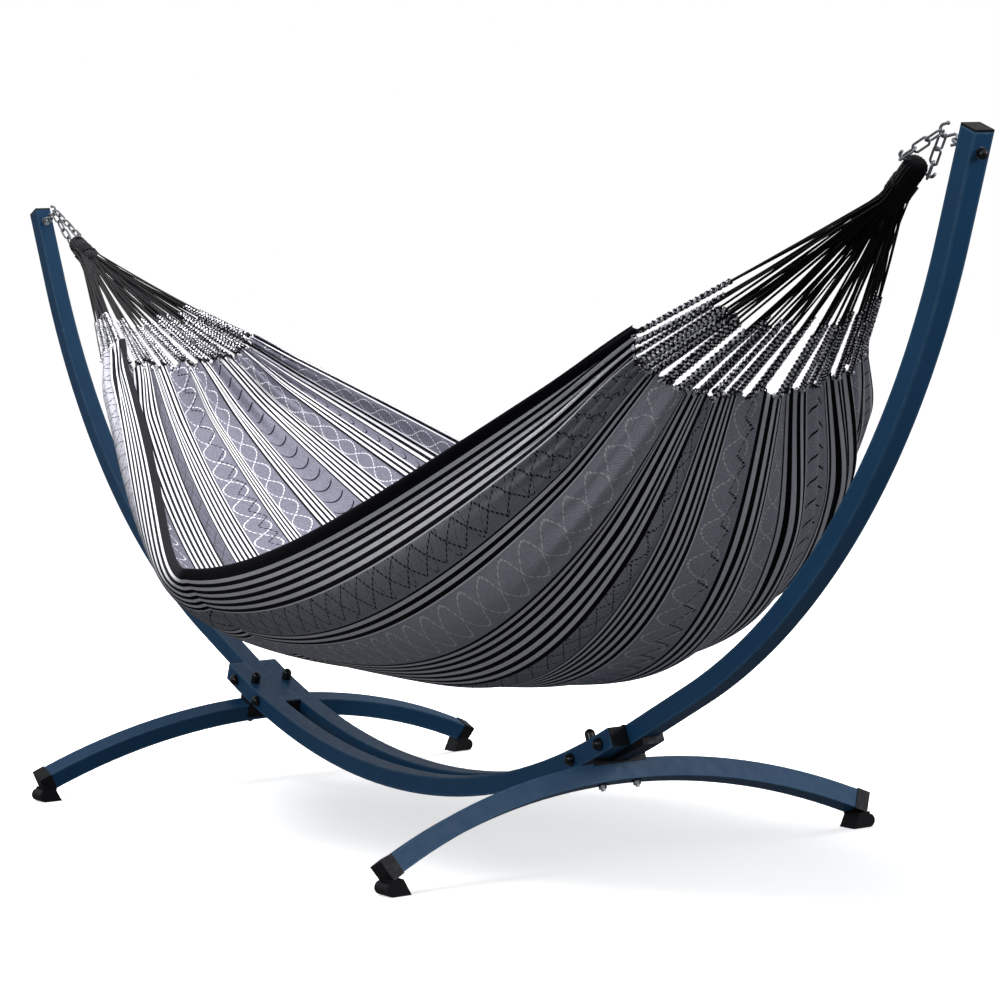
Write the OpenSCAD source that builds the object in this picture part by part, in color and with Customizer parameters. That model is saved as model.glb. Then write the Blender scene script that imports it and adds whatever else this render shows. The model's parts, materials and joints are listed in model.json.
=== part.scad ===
// Large two-person hammock on a bolted arc stand of square steel tube.
// X runs along the hammock, Y across it, Z up; the feet stand on z = 0.

/* [Tube] */
// Outer size of the square tube
tube = 38; // [34:1:44]
// Wall thickness of the tube
wall = 1.5; // [1.2:0.1:2.5]

/* [Rails] */
// Centre-line radius of the two bottom rails
rail_radius = 1895; // [1800:5:2000]
// Height of the rails' centre line at mid-length
rail_low = 70; // [60:1:80]
// Half of the angle that each rail spans
rail_half_angle = 24; // [23.5:0.1:25]
// Angle along the rail where the post's inner end lies
post_inner_angle = 18; // [17:0.1:18.5]
// Angle along the rail of the foot bar's vertical bolts
joint_angle = 21.2; // [21:0.1:21.4]
// Angle between the joint and each horizontal bolt
side_bolt_angle = 1.6; // [1.4:0.1:1.8]

/* [Posts] */
// Length of the straight stretch above the rail joint
post_straight = 220; // [200:5:240]
// Centre-line radius of the post's long bend
post_bend_radius = 1460; // [1420:5:1500]
// Slope of the post's top stretch
post_top_slope = 68; // [66:1:70]
// Length of the post's straight top stretch
post_top_straight = 183; // [160:1:200]
// Distance from the post's top down to the eye bolt
eye_drop = 33; // [30:1:40]

/* [Feet] */
// Thickness of the saddle between a rail and the foot bar
saddle_gap = 6.5; // [5:0.5:9]
// Length of the saddle's tongue under the post
saddle_tongue = 138; // [100:1:145]
// Centre-line radius of the arched foot bar
foot_radius = 1173; // [1160:1:1180]
// Half of the angle that a foot bar spans
foot_half_angle = 26.7; // [26.5:0.1:26.8]
// Length of the moulded sleeve on a foot bar's end
sleeve_length = 24; // [18:1:30]
// Thickness of the moulded sleeve
sleeve_wall = 2; // [1.5:0.5:3]
// Radius of the roll along the foot's outer edge
roll_radius = 13; // [11:1:15]

/* [Bolts] */
// Diameter of the frame bolts
bolt_d = 8; // [6:0.5:8]
// Clearance around a bolt in its hole
bolt_play = 0.25; // [0.2:0.05:0.4]
// Outer diameter of the black caps over the bolts
cap_d = 24; // [22:1:26]

/* [Hanging hardware] */
// Wire diameter of the hook
hook_wire = 5; // [4.5:0.5:5]
// Wire diameter of the chain links
link_wire = 4.2; // [4:0.1:4.3]
// Inner length of a chain link
link_inner = 31; // [30:0.5:32]
// Inner width of a chain link
link_width = 9.5; // [9.5:0.5:10]
// Half length of the pin between the chains' ends
pin_half = 32; // [31:1:34]

/* [Hammock] */
// Distance from mid-length to the cloth's right end
bed_right = 1206; // [1190:2:1216]
// Distance from mid-length to the cloth's left end
bed_left = 1066; // [1040:2:1080]
// Half width of the bed at mid-length
bed_half_width = 531; // [510:1:535]
// Half width of the gathered cloth at its right end
bed_right_half_width = 249; // [235:1:255]
// Half width of the gathered cloth at its left end
bed_left_half_width = 185; // [180:1:200]
// Height of the lowest point of the bed
bed_low = 288; // [280:1:300]
// Height of the side edges at mid-length
bed_edge_low = 541; // [525:1:560]
// Thickness of the plain bed solid
bed_thickness = 4; // [4:1:8]
// Number of end cords on each end, three in a column
cord_columns = 9; // [7:2:9]
// Diameter of the thin end cords
cord_d = 4; // [3:0.5:4]
// Diameter of the braided part of an end cord
braid_d = 5; // [4.5:0.5:5.5]

/* [Hidden] */

bore = tube - 2 * wall;
hole_d = bolt_d + 2 * bolt_play;
rail_z = rail_radius + rail_low;
rail_offset = tube;
navy = [0.10, 0.19, 0.29];
black = [0.06, 0.06, 0.07];
steel = [0.75, 0.76, 0.78];
cord_black = [0.08, 0.08, 0.09];
cloth_grey = [0.55, 0.55, 0.58];

// Ends of the post's stretches, as [x, z] with the slope there
post_a = [rail_radius * sin(rail_half_angle), rail_z - rail_radius * cos(rail_half_angle)];
post_b = post_a + post_straight * [cos(rail_half_angle), sin(rail_half_angle)];
bend_centre = post_b + post_bend_radius * [-sin(rail_half_angle), cos(rail_half_angle)];
post_mid_slope = (rail_half_angle + post_top_slope) / 2;
post_mid = bend_centre + post_bend_radius * [sin(post_mid_slope), -cos(post_mid_slope)];
post_c = bend_centre + post_bend_radius * [sin(post_top_slope), -cos(post_top_slope)];
post_end = post_c + post_top_straight * [cos(post_top_slope), sin(post_top_slope)];

// Foot bar, measured in the frame of the joint
bar_z = -tube - saddle_gap;

// Hanging hardware
washer_t = 2;
washer_play = 0.06;
eye_wire = 5.5;
eye_radius = 10.5;
eye_reach = tube / 2 + washer_t + 2 * washer_play + eye_radius + eye_wire / 2;
eye_point = post_end - eye_drop * [cos(post_top_slope), sin(post_top_slope)]
    + eye_reach * [-sin(post_top_slope), cos(post_top_slope)];
hook_shaft = 26;
hook_slope = 6;
pin_d = 5.5;
pin_bent = 11;
chain_spread = 25.5;
bundle_r = 22;
bundle_length = 72;
braid_start = 0.68;

// Hook, in its own plane: u towards the hammock, v up, from the eye's wire
hook_small = 8;
hook_large = 10;
hook_tip = 12;
hook_start = eye_point + eye_radius * [-sin(post_top_slope), cos(post_top_slope)];
hook_seat = hook_small - (eye_wire + hook_wire) / 2 - 0.35;
hook_bend = [hook_shaft, hook_small + hook_large];

function unit(v) = v / norm(v);
function hook_point(p) = [hook_start[0] - p[0] * cos(hook_slope) - p[1] * sin(hook_slope), 0,
    hook_start[1] - p[0] * sin(hook_slope) + p[1] * cos(hook_slope)];

// Chains and pin: both ends' chains run down from the hook's large bend
link_play = 0.3;
link_round = (link_width + link_wire) / 2;
chain_side_angle = 27;
function pull_slope(side) = side > 0 ? 35 : 33;
function link_count(side) = side > 0 ? 3 : 5;
function pin_twist(side) = side > 0 ? 47 : 82;
function pull(side) = [-cos(pull_slope(side)), 0, -sin(pull_slope(side))];
function pull_across(side) = [sin(pull_slope(side)), 0, -cos(pull_slope(side))];
function pin_line(side) = cos(pin_twist(side)) * [0, 1, 0] + sin(pin_twist(side)) * pull_across(side);
function chain_length(side) = link_count(side) * link_inner - (link_count(side) + 1) * link_play
    - (hook_wire + pin_d) / 2;
function chain_start(side, end) = hook_point(hook_bend) + hook_large * (cos(chain_side_angle) * pull(side)
    + end * sin(chain_side_angle) * pull_across(side));
function chain_reach(side) = sqrt(pow(chain_length(side), 2) - pow(chain_spread * cos(pin_twist(side)), 2)
    - pow(chain_spread * sin(pin_twist(side)) - hook_large * sin(chain_side_angle), 2));
function pin_at(side) = hook_point(hook_bend)
    + (chain_reach(side) + hook_large * cos(chain_side_angle)) * pull(side);
function chain_end(side, end) = pin_at(side) + end * chain_spread * pin_line(side);

// Bed, seen as on the right end: u from mid-length to the end, w from edge to edge.
// The right half hangs full; the left half is taut, with its bend at mid-length.
mid_bend = 0.16;
function bed_end(side) = side > 0 ? bed_right : bed_left;
function bed_end_edge(side) = side > 0 ? 990 : 973;
function bed_end_low(side) = side > 0 ? 859 : 906;
function bed_end_width(side) = side > 0 ? bed_right_half_width : bed_left_half_width;
function taut(u) = (norm([u, mid_bend]) - mid_bend) / (norm([1, mid_bend]) - mid_bend);
function side_width(side, u) =
    bed_half_width + (bed_end_width(side) - bed_half_width) * (side > 0 ? pow(u, 3) : taut(u));
function side_height(side, u) =
    bed_edge_low + (bed_end_edge(side) - bed_edge_low) * (side > 0 ? pow(u, 1.8) : pow(taut(u), 0.88));
function low_height(side, u) = bed_low + (bed_end_low(side) - bed_low) * pow(u, side > 0 ? 4.8 : 1.6);

// Section across the bed: a rounded V at mid-length, rounder at the ends; the left half's front edge leans in
function signed_pow(x, power) = sign(x) * pow(abs(x), power);
function roundness(side, u) = 1.23 + ((side > 0 ? 0.83 : 0.87) - 1.23) * pow(u, 0.7);
function edge_turn(side, u, w) = side < 0 && w < 0 ? 90 + 40 * pow(u, 0.4) : 90;
function bed_point(side, u, w) =
    let (power = roundness(side, u), turn = edge_turn(side, u, w), low = low_height(side, u),
        rise = (1 - signed_pow(cos(turn * w), power)) / (1 - signed_pow(cos(turn), power)))
    [u * bed_end(side), side_width(side, u) * signed_pow(sin(turn * w), power),
        low + (side_height(side, u) - low) * rise];
function bed_inner_point(side, u, w) =
    let (run = bed_point(side, u, min(1, w + 0.01)) - bed_point(side, u, max(-1, w - 0.01)),
        along = unit([0, run[1], run[2]]))
    bed_point(side, u, w) + bed_thickness * [0, -along[2], along[1]];

// End cords, from the bundle's neck to the cloth's end
cord_count = 3 * cord_columns;
cord_pitch = cord_d + 0.5;
function bundle_axis(side) =
    let (aim = bed_point(side, 1, 0.4))
    unit([aim[0], 0, aim[2]] - pin_at(side));
function neck_across(side) = cross([0, 1, 0], bundle_axis(side));
function cord_column(i) = floor(i / 3) - (cord_columns - 1) / 2;
function cord_row(i) = (cord_column(i) > 0 ? -1 : 1) * (1 - i % 3);
function cord_root(side, i) = pin_at(side) + bundle_length * bundle_axis(side)
    + cord_pitch * (cord_column(i) * [0, 1, 0] + cord_row(i) * neck_across(side));
function cord_foot(side, i) =
    let (first = side > 0 ? -0.97 : -0.7, last = 0.97, w = first + (last - first) * i / (cord_count - 1),
        foot = bed_point(side, 1, w), root = cord_root(side, i))
    foot + 5 * unit(root - foot);
function cord_joint(side, i) = cord_root(side, i) + braid_start * (cord_foot(side, i) - cord_root(side, i));

// A piece made for the right end, or its mirror image on the left end
module on_side(side) {
    if (side > 0) children();
    else mirror([1, 0, 0]) children();
}

// Frame on a rail's centre line: x along the rail, z towards the arc's centre
module at_rail(angle, y = 0) {
    translate([0, y, rail_z]) rotate([0, -angle, 0]) translate([0, 0, -rail_radius]) children();
}

// Frame on the foot bar's centre line inside the joint's frame: y along the bar
module at_bar(angle) {
    translate([0, 0, bar_z - foot_radius]) rotate([-angle, 0, 0])
        translate([0, 0, foot_radius]) children();
}

// Frame at the post's eye bolt: z along the bolt, out of the inner face
module at_eye_bolt() {
    p = post_end - eye_drop * [cos(post_top_slope), sin(post_top_slope)];
    translate([p[0], 0, p[1]]) rotate([0, -post_top_slope, 0]) children();
}

// Square bar bent to an arc in the XZ plane around the origin, angles from straight down
module xz_arc(radius, from, to, size) {
    rotate([90, 0, 0]) rotate_extrude(angle = to - from, start = from - 90, $fn = 720)
        translate([radius, 0]) square(size, center = true);
}

// Side outline of the post in the frame of its bend's middle, one edge at an offset from the centre line
function arc_points(centre, radius, from, to, steps) =
    [for (i = [0:steps]) let (a = from + (to - from) * i / steps) centre + radius * [sin(a), -cos(a)]];
function post_edge(offset, beyond) =
    let (half = (post_top_slope - rail_half_angle) / 2,
        first = post_inner_angle - beyond / rail_radius * 180 / PI - rail_half_angle - half,
        bend = [0, post_bend_radius],
        start = bend + post_bend_radius * [-sin(half), -cos(half)] - post_straight * [cos(half), -sin(half)],
        rails = start + rail_radius * [sin(half), cos(half)],
        top = bend + (post_bend_radius - offset) * [sin(half), -cos(half)])
    concat(arc_points(rails, rail_radius - offset, first, -half, 6),
        arc_points(bend, post_bend_radius - offset, -half, half, 44),
        [top + (post_top_straight + beyond) * [cos(half), sin(half)]]);

// Solid run of the post, of any section size, which may reach beyond both ends
module post_run(size, beyond = 0) {
    near = post_edge(size / 2, beyond);
    far = post_edge(-size / 2, beyond);
    translate([post_mid[0], 0, post_mid[1]]) rotate([0, -post_mid_slope, 0])
        translate([0, size / 2, 0]) rotate([90, 0, 0]) linear_extrude(size)
            polygon(concat(near, [for (i = [len(far) - 1:-1:0]) far[i]]));
}

// Square bar bent to the foot bar's arch, angles from its top
module bar_arc(from, to, size) {
    translate([0, 0, bar_z - foot_radius]) rotate([90, 0, 90])
        rotate_extrude(angle = to - from, start = 90 - to, $fn = 720)
            translate([foot_radius, 0]) square(size, center = true);
}

// Cylinder along Y
module y_rod(d, from, to, sides = 48) {
    translate([0, to, 0]) rotate([90, 0, 0]) cylinder(d = d, h = to - from, $fn = sides);
}

// Rod between two points
module rod(a, b, d, sides = 32) {
    v = b - a;
    translate(a) rotate([0, acos(v[2] / norm(v)), atan2(v[1], v[0])])
        cylinder(d = d, h = norm(v), $fn = sides);
}

// Bolt holes through a rail or a post at one joint
module side_bolt_places() {
    for (step = [-1, 1]) at_rail(joint_angle + step * side_bolt_angle) children();
}

module post() {
    color(navy) difference() {
        post_run(tube);
        post_run(bore, 1);
        side_bolt_places() y_rod(hole_d, -tube, tube);
        at_eye_bolt() translate([0, 0, -tube]) cylinder(d = hole_d, h = 2 * tube, $fn = 48);
    }
}

module rail(y) {
    color(navy) difference() {
        translate([0, y, rail_z]) xz_arc(rail_radius, -rail_half_angle, rail_half_angle, tube);
        translate([0, y, rail_z]) xz_arc(rail_radius, -rail_half_angle, rail_half_angle, bore);
        for (side = [-1, 1]) on_side(side) {
            side_bolt_places() y_rod(hole_d, -2 * tube, 2 * tube);
            at_rail(joint_angle, y) translate([0, 0, -tube]) cylinder(d = hole_d, h = 2 * tube, $fn = 48);
        }
    }
}

module foot_bar() {
    color(navy) at_rail(joint_angle) difference() {
        bar_arc(-foot_half_angle, foot_half_angle, tube);
        bar_arc(-foot_half_angle, foot_half_angle, bore);
        for (y = [-rail_offset, rail_offset]) translate([0, y, bar_z - tube])
            cylinder(d = hole_d, h = 2 * tube, $fn = 48);
    }
}

// Moulded saddle: its top follows the rails and the post, its underside sits on the foot bar
module saddle() {
    under = bar_z + tube / 2;
    inner_lip = 30;
    outer_lip = 6;
    lip = 3;
    half = tube / 2 + lip;
    post_room = 0.3;
    color(black) at_rail(joint_angle) difference() {
        union() {
            translate([-half, -1.5 * tube, under - inner_lip])
                cube([lip, 3 * tube, inner_lip + saddle_gap + 1]);
            translate([-half, -1.5 * tube, under - outer_lip])
                cube([2 * half, 3 * tube, outer_lip + saddle_gap + 1]);
            translate([0, -tube / 2, under - 3]) cube([saddle_tongue, tube, 20]);
        }
        // room for the rails and for the post's straight stretch
        translate([0, 0, rail_radius]) rotate([90, 0, 0])
            cylinder(r = rail_radius + tube / 2, h = 4 * tube, center = true, $fn = 1440);
        translate([0, 0, rail_radius]) rotate([0, joint_angle - rail_half_angle, 0])
            translate([0, -tube, -rail_radius - tube / 2 - post_room]) cube([post_straight, 2 * tube, tube]);
        // room for the foot bar and its bolts
        bar_arc(-5, 5, tube);
        for (y = [-rail_offset, rail_offset])
            translate([0, y, bar_z]) cylinder(d = hole_d, h = 2 * tube, $fn = 48);
    }
}

// Plug pressed into a tube's end: x points out of the tube
module end_plug(plate, plate_t, depth) {
    fit = 0.3;
    translate([0, -plate / 2, -plate / 2]) cube([plate_t, plate, plate]);
    translate([-depth, -bore / 2 + fit, -bore / 2 + fit])
        cube([depth, bore - 2 * fit, bore - 2 * fit]);
}

module post_top_cap() {
    color(black) translate([post_end[0], 0, post_end[1]]) rotate([0, -post_top_slope, 0])
        end_plug(tube, 4, 12);
}

module post_end_plug() {
    color(black) at_rail(post_inner_angle) mirror([1, 0, 0]) end_plug(tube - 2, 3, 12);
}

module rail_end_plugs(y) {
    color(black) for (side = [-1, 1]) on_side(side)
        at_rail(rail_half_angle, y) end_plug(tube - 2, 3, 12);
}

// Moulded foot: a sleeve over the bar's end, and a level pad with a roll along its outer edge
module foot_outline(roll_y) {
    inner_y = roll_y - 37;
    polygon([[roll_y, 0], [inner_y, 0], [inner_y + 15, 30], [roll_y + 2, 30]]);
    translate([roll_y, roll_radius]) circle(r = roll_radius, $fn = 64);
}

module foot() {
    outer = tube + 2 * sleeve_wall;
    sleeve_angle = sleeve_length / foot_radius * 180 / PI;
    wall_angle = 3 / foot_radius * 180 / PI;
    pad_width = 46;
    end_x = rail_radius * sin(joint_angle)
        - (bar_z - foot_radius * (1 - cos(foot_half_angle))) * sin(joint_angle);
    end_y = foot_radius * sin(foot_half_angle);
    color(black) difference() {
        union() {
            at_rail(joint_angle)
                bar_arc(foot_half_angle - sleeve_angle, foot_half_angle + wall_angle, outer);
            translate([end_x + 5 - pad_width / 2, 0, 0]) rotate([90, 0, 90])
                linear_extrude(pad_width) foot_outline(end_y - 3);
        }
        at_rail(joint_angle) bar_arc(foot_half_angle - 6, foot_half_angle, tube);
    }
}

module rear_foot() {
    foot();
}

module front_foot() {
    mirror([0, 1, 0]) foot();
}

// Eye bolt with its nut side outside the post
shank_end = tube / 2 + washer_t + 7;
module eye_bolt() {
    color(steel) at_eye_bolt() {
        translate([0, 0, eye_reach]) rotate([0, 90, 0])
            rotate_extrude($fn = 64) translate([eye_radius, 0]) circle(d = eye_wire, $fn = 32);
        translate([0, 0, -shank_end]) cylinder(d = bolt_d, h = eye_reach - eye_radius + shank_end, $fn = 48);
    }
}

module eye_bolt_washers() {
    outside = -tube / 2 - washer_play - washer_t;
    inside = tube / 2 + washer_play;
    color(steel) for (side = [-1, 1]) on_side(side) at_eye_bolt() for (z = [outside, inside])
        translate([0, 0, z]) difference() {
            cylinder(d = 20, h = washer_t, $fn = 48);
            translate([0, 0, -1]) cylinder(d = bolt_d + 0.2, h = washer_t + 2, $fn = 48);
        }
}

// Dome over a bolt's end: a skirt and a round top, hollow for what it covers
module dome(d, skirt, hollow_d, hollow_h) {
    difference() {
        union() {
            cylinder(d = d, h = skirt, $fn = 48);
            translate([0, 0, skirt]) intersection() {
                sphere(d = d, $fn = 48);
                cylinder(d = 2 * d, h = d, $fn = 48);
            }
        }
        translate([0, 0, -1]) cylinder(d = hollow_d, h = hollow_h + 1, $fn = 48);
    }
}

module eye_bolt_dome_nuts() {
    color(black) for (side = [-1, 1]) on_side(side)
        at_eye_bolt() translate([0, 0, -tube / 2 - washer_t - 2 * washer_play]) rotate([180, 0, 0])
            dome(18, 5, bolt_d + 0.1, 9);
}

// Horizontal bolts through both rails and the post, heads to the front
head_h = 5;
module rail_bolts() {
    color(steel) side_bolt_places() {
        y_rod(bolt_d, -1.5 * tube, 1.5 * tube + 9);
        y_rod(14, -1.5 * tube - head_h, -1.5 * tube, 6);
    }
}

module rail_bolt_nuts() {
    color(steel) for (side = [-1, 1]) on_side(side) side_bolt_places()
        translate([0, 1.5 * tube, 0]) difference() {
            y_rod(15, 0, 6.5, 6);
            y_rod(bolt_d + 0.1, -1, 8);
        }
}

module rail_bolt_caps() {
    color(black) for (side = [-1, 1]) on_side(side) side_bolt_places() {
        translate([0, -1.5 * tube, 0]) rotate([90, 0, 0]) dome(cap_d, 2, 16, head_h + 0.5);
        translate([0, 1.5 * tube, 0]) rotate([-90, 0, 0]) dome(cap_d, 2, 16, 9.5);
    }
}

// Bolts down through a rail, the saddle and the foot bar
bar_under = bar_z - tube / 2 - 1.1;
module foot_bar_bolts() {
    color(steel) at_rail(joint_angle) for (y = [-rail_offset, rail_offset]) translate([0, y, 0]) {
        translate([0, 0, bar_under - 12]) cylinder(d = bolt_d, h = tube / 2 - bar_under + 12, $fn = 48);
        translate([0, 0, tube / 2]) cylinder(d = 14, h = head_h, $fn = 6);
    }
}

module foot_bar_bolt_caps() {
    color(black) for (side = [-1, 1]) on_side(side) at_rail(joint_angle)
        for (y = [-rail_offset, rail_offset]) translate([0, y, tube / 2])
            dome(20, 14, 16, head_h + 0.5);
}

module foot_bar_washers() {
    color(black) for (side = [-1, 1]) on_side(side) at_rail(joint_angle)
        for (y = [-rail_offset, rail_offset]) translate([0, y, bar_under - 1.6]) difference() {
            cylinder(d = 18, h = 1.6, $fn = 48);
            translate([0, 0, -1]) cylinder(d = bolt_d + 0.2, h = 4, $fn = 48);
        }
}

module foot_bar_nuts() {
    color(steel) for (side = [-1, 1]) on_side(side) at_rail(joint_angle)
        for (y = [-rail_offset, rail_offset]) translate([0, y, bar_under - 8.1]) difference() {
            cylinder(d = 15, h = 6.5, $fn = 6);
            translate([0, 0, -1]) cylinder(d = bolt_d + 0.1, h = 9, $fn = 48);
        }
}

// Open hook in the XZ plane: a small bend in the eye, a large bend with a ball tip for the chains
module wire_bend(centre, radius, from, to, wire) {
    translate([centre[0], centre[1], 0]) rotate_extrude(angle = to - from, start = from, $fn = 64)
        translate([radius, 0]) circle(d = wire, $fn = 32);
}

module wire_rod(a, b, wire) {
    rod([a[0], a[1], 0], [b[0], b[1], 0], wire);
}

module hook() {
    top = hook_small + 2 * hook_large;
    color(steel) translate([hook_start[0], 0, hook_start[1]]) mirror([1, 0, 0])
        rotate([0, hook_slope, 0]) rotate([90, 0, 0]) {
            wire_rod([hook_tip, -hook_small], [hook_seat, -hook_small], hook_wire);
            wire_bend([hook_seat, 0], hook_small, 90, 270, hook_wire);
            wire_rod([hook_seat, hook_small], [hook_shaft, hook_small], hook_wire);
            wire_bend(hook_bend, hook_large, -90, 90, hook_wire);
            wire_rod([hook_shaft, top], [hook_shaft - hook_tip, top], hook_wire);
            translate([hook_shaft - hook_tip, top, 0]) sphere(d = hook_wire + 2, $fn = 32);
        }
}

// Chain link, its length along Z and its width along X
module link() {
    straight = (link_inner - link_width) / 2;
    for (side = [-1, 1]) translate([side * link_round, 0, -straight])
        cylinder(d = link_wire, h = 2 * straight, $fn = 32);
    rotate([90, 0, 0]) {
        wire_bend([0, straight], link_round, 0, 180, link_wire);
        wire_bend([0, -straight], link_round, 180, 360, link_wire);
    }
}

// Row of links from the hook (the first lies across it) to the pin, each turned on from the last
function wrap_half_turn(a) = a - 180 * round(a / 180);
function link_roll(along, normal) =
    let (tilt = acos(along[2]), turn = atan2(along[1], along[0]),
        ex = [cos(tilt) * cos(turn), cos(tilt) * sin(turn), -sin(tilt)], ey = [-sin(turn), cos(turn), 0])
    atan2(-normal * ex, normal * ey);
module chain(side, end) {
    start = chain_start(side, end);
    along = unit(chain_end(side, end) - start);
    count = link_count(side);
    first_roll = link_roll(along, pull_across(side));
    quarter_turns = 90 * (count - 1);
    roll = quarter_turns
        + wrap_half_turn(link_roll(along, pin_line(side)) - first_roll - quarter_turns);
    color(steel) on_side(side) translate(start)
        rotate([0, acos(along[2]), atan2(along[1], along[0])]) for (i = [0:count - 1])
            translate([0, 0, (i + 0.5) * link_inner - (i + 1) * link_play - hook_wire / 2])
                rotate([0, 0, first_roll + roll * i / (count - 1)]) link();
}

// Frame at the pin: z along the chains' pull, away from the post, x along the pin
module at_pin(side) {
    translate(pin_at(side)) rotate([0, -90 - pull_slope(side), 0])
        rotate([0, 0, 90 + pin_twist(side)]) children();
}

module pin(side) {
    bend = 5;
    straight = pin_half - bend;
    color(steel) on_side(side) at_pin(side) {
        translate([-straight, 0, 0]) rotate([0, 90, 0]) cylinder(d = pin_d, h = 2 * straight, $fn = 32);
        for (end = [0, 180]) rotate([0, 0, end]) translate([straight, 0, 0]) rotate([90, 0, 0]) {
            wire_bend([0, -bend], bend, 0, 90, pin_d);
            translate([bend, -bend, 0]) rotate([90, 0, 0]) cylinder(d = pin_d, h = pin_bent - bend, $fn = 32);
        }
    }
}

// Wrapped bundle that gathers the end cords around the pin
module cord_bundle(side) {
    color(cord_black) on_side(side) difference() {
        translate(pin_at(side)) rotate([0, -acos(bundle_axis(side)[2]), 0]) rotate_extrude($fn = 48)
            polygon([[0, -14], [10, -14], [18, -10], [bundle_r, 0], [bundle_r + 1, 20],
                [bundle_r - 1, bundle_length], [0, bundle_length]]);
        at_pin(side) rotate([0, 90, 0])
            cylinder(d = pin_d + 0.1, h = 3 * bundle_r, center = true, $fn = 32);
    }
}

module end_cords(side) {
    color(cord_black) on_side(side) for (i = [0:cord_count - 1])
        rod(cord_root(side, i), cord_joint(side, i), cord_d, 16);
}

module end_braids(side) {
    color(cloth_grey) on_side(side) for (i = [0:cord_count - 1])
        rod(cord_joint(side, i), cord_foot(side, i), braid_d, 16);
}

// Plain closed solid of the hanging cloth: an outer and an inner grid joined around the rim
bed_rows = 20;
bed_columns = 24;
module hammock_bed() {
    row = bed_columns + 1;
    sheet = (2 * bed_rows + 1) * row;
    points = [for (layer = [0, 1], i = [-bed_rows:bed_rows], j = [0:bed_columns])
        let (side = i < 0 ? -1 : 1, u = abs(i) / bed_rows, w = 2 * j / bed_columns - 1,
            p = layer == 0 ? bed_point(side, u, w) : bed_inner_point(side, u, w))
        [side * p[0], p[1], p[2]]];
    outer = [for (i = [0:2 * bed_rows - 1], j = [0:bed_columns - 1])
        let (a = i * row + j) each [[a, a + row + 1, a + row], [a, a + 1, a + row + 1]]];
    inner = [for (f = outer) [f[0] + sheet, f[2] + sheet, f[1] + sheet]];
    last = 2 * bed_rows * row;
    rim = concat([for (j = [0:bed_columns - 1]) [j, j + 1]],
        [for (i = [0:2 * bed_rows - 1]) [i * row + bed_columns, (i + 1) * row + bed_columns]],
        [for (j = [bed_columns:-1:1]) [last + j, last + j - 1]],
        [for (i = [2 * bed_rows:-1:1]) [i * row, (i - 1) * row]]);
    walls = [for (e = rim) each [[e[0], e[0] + sheet, e[1] + sheet], [e[0], e[1] + sheet, e[1]]]];
    color(cloth_grey) polyhedron(points, concat(outer, inner, walls), convexity = 4);
}

on_side(-1) post();  // left_post
on_side(1) post();  // right_post
rail(-rail_offset);  // front_rail
rail(rail_offset);  // rear_rail
on_side(-1) foot_bar();  // left_foot_bar
on_side(1) foot_bar();  // right_foot_bar
on_side(-1) saddle();  // left_saddle
on_side(1) saddle();  // right_saddle
on_side(-1) post_top_cap();  // left_post_top_cap
on_side(1) post_top_cap();  // right_post_top_cap
on_side(-1) post_end_plug();  // left_post_end_plug
on_side(1) post_end_plug();  // right_post_end_plug
rail_end_plugs(-rail_offset);  // front_rail_end_plugs
rail_end_plugs(rail_offset);  // rear_rail_end_plugs
on_side(-1) front_foot();  // left_front_foot
on_side(-1) rear_foot();  // left_rear_foot
on_side(1) front_foot();  // right_front_foot
on_side(1) rear_foot();  // right_rear_foot
on_side(-1) eye_bolt();  // left_eye_bolt
on_side(1) eye_bolt();  // right_eye_bolt
eye_bolt_washers();
eye_bolt_dome_nuts();
on_side(-1) rail_bolts();  // left_rail_bolts
on_side(1) rail_bolts();  // right_rail_bolts
rail_bolt_nuts();
rail_bolt_caps();
on_side(-1) foot_bar_bolts();  // left_foot_bar_bolts
on_side(1) foot_bar_bolts();  // right_foot_bar_bolts
foot_bar_bolt_caps();
foot_bar_washers();
foot_bar_nuts();
on_side(-1) hook();  // left_hook
on_side(1) hook();  // right_hook
chain(-1, -1);  // left_upper_chain
chain(-1, 1);  // left_lower_chain
chain(1, -1);  // right_upper_chain
chain(1, 1);  // right_lower_chain
pin(-1);  // left_pin
pin(1);  // right_pin
cord_bundle(-1);  // left_cord_bundle
cord_bundle(1);  // right_cord_bundle
end_cords(-1);  // left_end_cords
end_cords(1);  // right_end_cords
end_braids(-1);  // left_end_braids
end_braids(1);  // right_end_braids
hammock_bed();
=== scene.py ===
import json
import math

import bpy
import numpy as np
from mathutils import Matrix, Vector

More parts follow.
